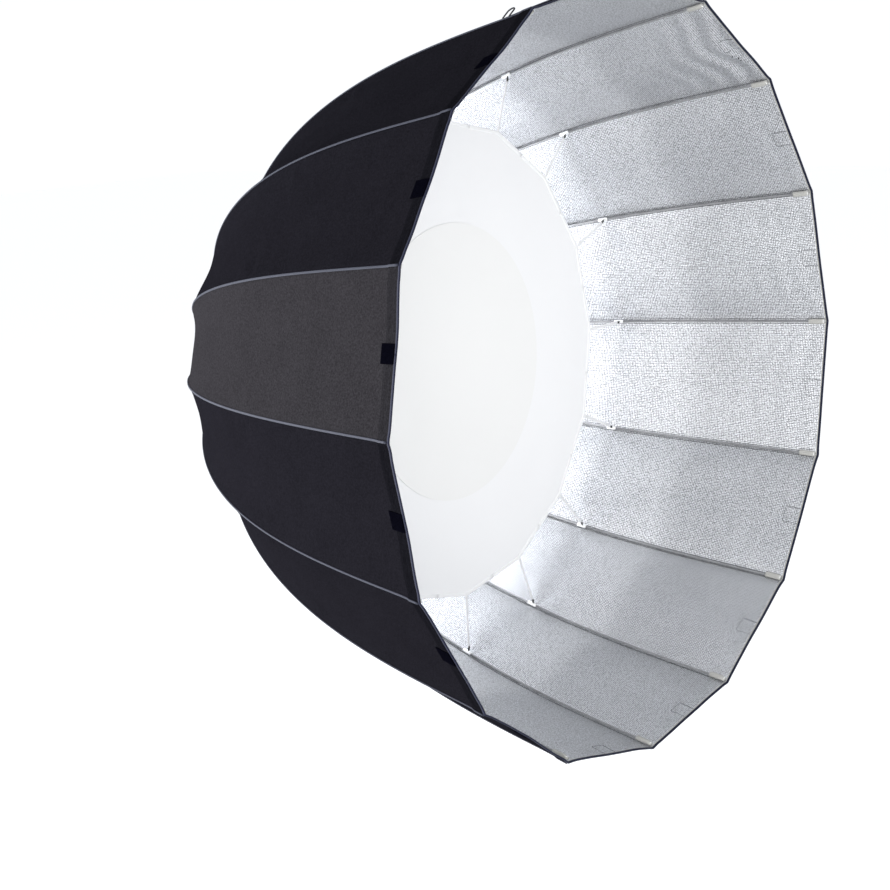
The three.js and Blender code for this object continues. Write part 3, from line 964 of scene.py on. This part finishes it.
def make_diffuser(k):
    """One sixteenth of the diffuser, from the centre to the edge on both sides of rib k's corner."""
    rows, columns = 26, 12
    turns = np.linspace(-HALF, HALF, columns + 1)

    def face(name, material, slot, shift, high, to_edge):
        radius, turn = np.meshgrid(np.linspace(CENTRE_HOLE, high, rows + 1), turns, indexing="ij")
        reach = radius * math.cos(HALF) / np.cos(HALF - np.abs(turn)) if to_edge else radius
        x, z = reach * np.sin(turn), reach * np.cos(turn)
        bow = DIFFUSER_BOW * np.cos(math.pi / 2 * np.clip(radius / DIFFUSER_RADIUS, 0, 1))
        front = np.stack([x, -(DIFFUSER_DEPTH + shift) - bow, z], -1)
        back = front + np.array([0, DIFFUSER_THICKNESS, 0])
        piece = sheet_solid(numbered(name, k), turned(front, k), turned(back, k))
        cloth_uv(piece, x, z)
        dress(piece, material)
        fix_normals(piece)
        gather(piece, k)
        return piece

    main = face("diffuser", "diffuser", "diffuser_fabric", 0.0, DIFFUSER_RADIUS, True)
    patch = face("diffuser_patch", "patch", "patch_fabric", PATCH_LIFT, PATCH_RADIUS, False)
    edge = DIFFUSER_RADIUS * math.cos(HALF)
    hem_path = []
    for turn in np.linspace(-HALF, HALF, 13):
        reach = (edge - DIFFUSER_HEM_WIDTH / 2) / math.cos(HALF - abs(turn))
        point = turned((reach * math.sin(turn), -DIFFUSER_DEPTH, reach * math.cos(turn)), k)
        lean = math.copysign(HALF, turn) if abs(turn) > 1e-6 else 0.0
        outward = turned((math.sin(lean), 0, math.cos(lean)), k)
        hem_path.append((point, outward, np.array([0.0, 1.0, 0.0])))
    hem = tube(numbered("diffuser_hem", k), hem_path,
               soft_outline(DIFFUSER_HEM_WIDTH, DIFFUSER_HEM_HEIGHT, 0.0016))
    dress(hem, "diffuser")
    gather(hem, k)
    return main, patch


# ---------------------------------------------------------------- rim tabs, loop and collar

def make_tab(k):
    """A hook-tape tab over the hem: half on rib k's panel and half on the next rib's."""
    distances = np.linspace(RIB_LENGTH - TAB_INSET - TAB_SIZE, RIB_LENGTH - TAB_INSET, 9)
    half_widths = beside_rod(distances, SEAM_OFFSET)[0] * math.sin(HALF)
    half, underside = TAB_SIZE / 2, HEM_THICKNESS + HEM_ROLL + 0.0002
    for letter, own_rib, across in (("a", k, np.linspace(-half, 0, 9)),
                                    ("b", (k + 1) % RIBS, np.linspace(0, half, 9))):
        side = 1 - np.abs(across)[None, :] / half_widths[:, None]
        side = side if letter == "a" else -side
        distance = np.broadcast_to(distances[:, None], side.shape)
        piece = sheet_solid(numbered(f"tab_{letter}", k),
                            panel_points(own_rib, distance, side, underside + TAB_THICKNESS),
                            panel_points(own_rib, distance, side, underside))
        sew(piece, "hook_tape", own_rib)
        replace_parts(piece, numbered("rim_tab", k))


def make_loop():
    """The cord loop on the last rib's seam, which leans towards the rim."""
    k = RIBS - 1
    foot = SEAM_OFFSET + SHEET_GAP + LOOP_DIAMETER / 2
    radius, depth, angle = beside_rod(RIB_LENGTH - LOOP_SETBACK, foot)
    # Straight sides and a round end, in the plane that leans towards the rim.
    end = LOOP_WIDTH / 2
    side = math.hypot(LOOP_LEAN, LOOP_HEIGHT) - end
    outline = [(-end, side * i / 8) for i in range(8)]
    outline += [(-end * math.cos(turn), side + end * math.sin(turn))
                for turn in np.linspace(0, math.pi, 21)]
    outline += [(end, side * i / 8) for i in range(7, -1, -1)]
    points = []
    for across, reach in outline:
        along = across + reach * LOOP_LEAN / (side + end)
        rise = reach * LOOP_HEIGHT / (side + end)
        points.append(turned((0, -depth - along * math.sin(angle) + rise * math.cos(angle),
                              radius + along * math.cos(angle) + rise * math.sin(angle)), k))
    points = np.array(points)
    piece = tube("loop_cord", frames_along(points, turned((1, 0, 0), k)),
                 round_outline(LOOP_DIAMETER / 2, 12))
    fasten(piece, "cord", numbered("rib", k), "hanging_loop")


def make_collar(k):
    """One sixteenth of the gathered collar that closes the back of the shell round the crown."""
    turns = np.linspace(-HALF, HALF, 17) * 0.998
    distances = np.linspace(COLLAR_START, COLLAR_START + COLLAR_LENGTH, 13)
    distance, turn = np.meshgrid(distances, turns, indexing="ij")

    def face(lift):
        share = (distance - COLLAR_START) / COLLAR_LENGTH
        gathers = COLLAR_GATHER * np.sin(turn / HALF * math.pi * 3) * (1 - 0.5 * share)
        hem = COLLAR_HEM * (np.exp(-((share - 0.08) / 0.06) ** 2) + np.exp(-((share - 0.94) / 0.05) ** 2))
        radius, depth, angle = beside_rod(distance, COLLAR_OFFSET + lift)
        radius = radius + (gathers + hem) * np.sin(angle)
        depth = depth - (gathers + hem) * np.cos(angle)
        return turned(np.stack([radius * np.sin(turn), -depth, radius * np.cos(turn)], -1), k)

    piece = sheet_solid(numbered("collar", k), face(GAP + COLLAR_THICKNESS), face(GAP))
    cloth_uv(piece, turn * beside_rod(distance)[0], distance)
    sew(piece, "collar", k)
    return piece


# ---------------------------------------------------------------- the speedring

def around(turn):
    """Maps (tangential, outward, depth) at an angle round the ring to the object's frame."""
    c, s = math.cos(turn), math.sin(turn)
    return lambda a, b, depth: (b * s + a * c, -depth, b * c - a * s)


def make_speedring():
    ring = lathe("bayonet", [(BORE_RADIUS, -SPIGOT_HEIGHT), (SPIGOT_RADIUS, -SPIGOT_HEIGHT),
                             (SPIGOT_RADIUS, 0), (FLANGE_RADIUS, 0), (FLANGE_RADIUS, FLANGE_THICKNESS),
                             (SLEEVE_RADIUS, FLANGE_THICKNESS), (SLEEVE_RADIUS, SLEEVE_FRONT),
                             (BORE_RADIUS, SLEEVE_FRONT)])
    extras = []
    for i in range(3):
        first, last = math.pi / 2 - LUG_ANGLE / 2, math.pi / 2 + LUG_ANGLE / 2
        outline = arc(LUG_RADIUS, first, last, 12) + arc(SPIGOT_RADIUS - LUG_ROOT, last, first, 12)
        extras.append(prism(f"lug_{i}", outline, -SPIGOT_HEIGHT, -SPIGOT_HEIGHT + LUG_HEIGHT,
                            around(2 * math.pi * i / 3)))
    half = LOCK_PAD_WIDTH / 2
    outline = [(half, LOCK_PAD_START), (half, LOCK_RADIUS)] + arc(half, 0, math.pi, 16, (0, LOCK_RADIUS))
    outline += [(-half, LOCK_RADIUS), (-half, LOCK_PAD_START)]
    extras.append(prism("pad", outline, 0.0002, FLANGE_THICKNESS - 0.0002, around(LOCK_ANGLE)))
    joined(ring, *extras)
    fasten(bevelled(ring, 0.0008), "aluminium", "mount", "bayonet_ring")

    washer_back = FLANGE_THICKNESS + GAP
    washer_front = washer_back + WASHER_THICKNESS
    liner = lathe("liner", [(LINER_INNER, washer_back), (FLANGE_RADIUS - GAP, washer_back),
                            (FLANGE_RADIUS - GAP, washer_front), (LINER_OUTER, washer_front),
                            (LINER_OUTER, CROWN_FRONT), (LINER_INNER, CROWN_FRONT)])
    fasten(bevelled(liner, 0.0003, 1), "nylon", "mount", "slide_liner")

    crown = flat_ring("crown_ring", CROWN_BORE, CROWN_RADIUS, CROWN_BACK, CROWN_FRONT)
    half, floor = FERRULE_WIDTH / 2 + SLOT_GAP, FERRULE_HEIGHT / 2 + SLOT_GAP
    corners = [(-floor, floor), (SLOT_LENGTH, floor), (SLOT_LENGTH, -SLOT_HEIGHT), (-floor, -SLOT_HEIGHT)]
    slots = [prism(f"slot_{k}", corners, -half, half, at_hinge(k)) for k in range(RIBS)]
    cut(crown, joined(*slots))
    fasten(bevelled(crown, 0.0006, 2, 40), "crown", "crown", "crown")

    wire = lathe("wire", [(HINGE_RADIUS + a, HINGE_DEPTH + b)
                          for a, b in round_outline(HINGE_WIRE_RADIUS, 12)])
    wire.data.shade_smooth()
    fasten(wire, "steel", "crown", "hinge_wire")

    cover = flat_ring("front_cover", CROWN_BORE + GAP, COVER_RADIUS, COVER_BACK, COVER_FRONT)
    fasten(bevelled(cover, 0.0005), "crown", "crown", "crown_cover")
    retainer = flat_ring("retainer", SLEEVE_RADIUS + GAP, RETAINER_RADIUS, RETAINER_BACK, SLEEVE_FRONT)
    fasten(bevelled(retainer, 0.0005), "steel", "mount", "retaining_ring")


def make_lock():
    """The clamp lever on the back of the pad, and its socket-head screw."""
    on_ring = around(LOCK_ANGLE)

    def place(a, b, depth):
        return on_ring(a, LOCK_RADIUS + b, depth)

    flank = [(0.020, 0.0052), (0.045, 0.0046)]
    outline = arc(LEVER_HEAD_RADIUS, math.pi / 2, 3 * math.pi / 2, 20)
    outline += [(a, -b) for a, b in flank]
    outline += arc(LEVER_TIP_RADIUS, -math.pi / 2, math.pi / 2, 14, (LEVER_LENGTH, 0))
    outline += flank[::-1]
    lever = prism("lever", outline, -GAP - LEVER_THICKNESS, -GAP, place)
    grooves = []
    for i in range(LEVER_GROOVES):
        start, half = 0.042 + 0.0045 * i, 0.004
        end = start + 0.0016
        corners = [(start, -half), (end, -half), (end, half), (start, half)]
        grooves.append(prism(f"groove_{i}", corners, -0.0084, -0.0066, place))
    cut(lever, joined(*grooves))
    fasten(bevelled(lever, 0.0006), "black_plastic", "lever", "lock_lever")

    back = LEVER_THICKNESS + 2 * GAP
    head = prism("screw", round_outline(SCREW_HEAD_RADIUS, 32), -back - SCREW_HEAD_HEIGHT, -back, place)
    cut(head, prism("socket", round_outline(0.0029, 6), -back - 0.006, -back - 0.0012, place))
    joined(head, prism("shank", round_outline(0.003, 20), -back - 0.0002, FLANGE_THICKNESS, place))
    fasten(bevelled(head, 0.0005), "steel", "mount", "lock_screw")


for k in range(RIBS):
    make_shell(k)
    make_binding(k)
    make_piping(k)
    make_shadow_lines_and_stitching(k)
    make_rod(k)
    make_pocket(k)
    make_clip(k)
    make_tab(k)
make_loop()
diffusers = [make_diffuser(k) for k in range(RIBS)]
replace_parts(diffusers[0][0], "inner_diffuser")
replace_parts(diffusers[0][1], "centre_patch")
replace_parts([make_collar(k) for k in range(RIBS)][0], "rear_collar")
make_speedring()
make_lock()


# ---------------------------------------------------------------- stage, light and camera

FLOOR_HEIGHT = -1.75
FLOOR_REACH = 30
floor = new_object("floor", [(FLOOR_REACH * x, FLOOR_REACH * y, FLOOR_HEIGHT)
                             for x, y in ((-1, -1), (1, -1), (1, 1), (-1, 1))], [(0, 1, 2, 3)])
floor.data.materials.append(Nodes("floor_paper", (0.985, 0.985, 0.985), 0.9).material)

world = bpy.data.worlds.new("studio")
scene = bpy.context.scene
scene.world = world
world.use_nodes = True
background = world.node_tree.nodes["Background"].inputs
background["Color"].default_value = (0.985, 1.0, 1.03, 1)
background["Strength"].default_value = 1.02


def light(name, kind, place, power):
    lamp = bpy.data.objects.new(name, bpy.data.lights.new(name, kind))
    lamp.data.energy = power
    lamp.location = place
    lamp.visible_camera = False
    scene.collection.objects.link(lamp)
    return lamp


def area_light(name, place, target, size, power, color=(1, 1, 1)):
    lamp = light(name, "AREA", place, power)
    lamp.data.shape = "RECTANGLE"
    lamp.data.size, lamp.data.size_y = size
    lamp.data.color = color
    aim = Vector(target) - Vector(place)
    lamp.rotation_euler = aim.to_track_quat("-Z", "Y").to_euler()


area_light("side_key", place=(-5.6, -5.0, 0.7), target=(0.4, -0.9, 0), size=(5.0, 3.5), power=310,
           color=(1.0, 0.98, 0.95))
area_light("rear_fill", place=(-3.8, 4.6, -0.2), target=(0, -0.4, 0), size=(2.5, 2.0), power=900)
# The lamp behind the diffuser stays out of the lining's mirror-like reflections.
chamber_lamp = light("chamber_lamp", "POINT", place=(0, -0.16, 0), power=85)
chamber_lamp.data.shadow_soft_size = 0.05
chamber_lamp.visible_glossy = False

# The camera: the line of sight and the roll that put the object as it is in the picture.
AIM = Vector((-0.7627, -RIM_DEPTH, -0.0389))
AZIMUTH, ELEVATION, ROLL = math.radians(-51.15), math.radians(10.587), math.radians(-3.196)
DISTANCE = 4.6806
FOCAL = 87.57
SENSOR_WIDTH = 36
level = math.cos(ELEVATION)
back = Vector((math.sin(AZIMUTH) * level, -math.cos(AZIMUTH) * level, math.sin(ELEVATION)))
right = Vector((0, 0, 1)).cross(back).normalized()
up = back.cross(right)
rolled_right = right * math.cos(ROLL) + up * math.sin(ROLL)
rolled_up = up * math.cos(ROLL) - right * math.sin(ROLL)
camera = bpy.data.objects.new("camera", bpy.data.cameras.new("camera"))
camera.data.lens, camera.data.sensor_width, camera.data.clip_end = FOCAL, SENSOR_WIDTH, 200
axes = Matrix((rolled_right, rolled_up, back)).transposed().to_4x4()
camera.matrix_world = Matrix.Translation(AIM + back * DISTANCE) @ axes
scene.collection.objects.link(camera)
scene.camera = camera
scene.view_settings.view_transform = "Standard"
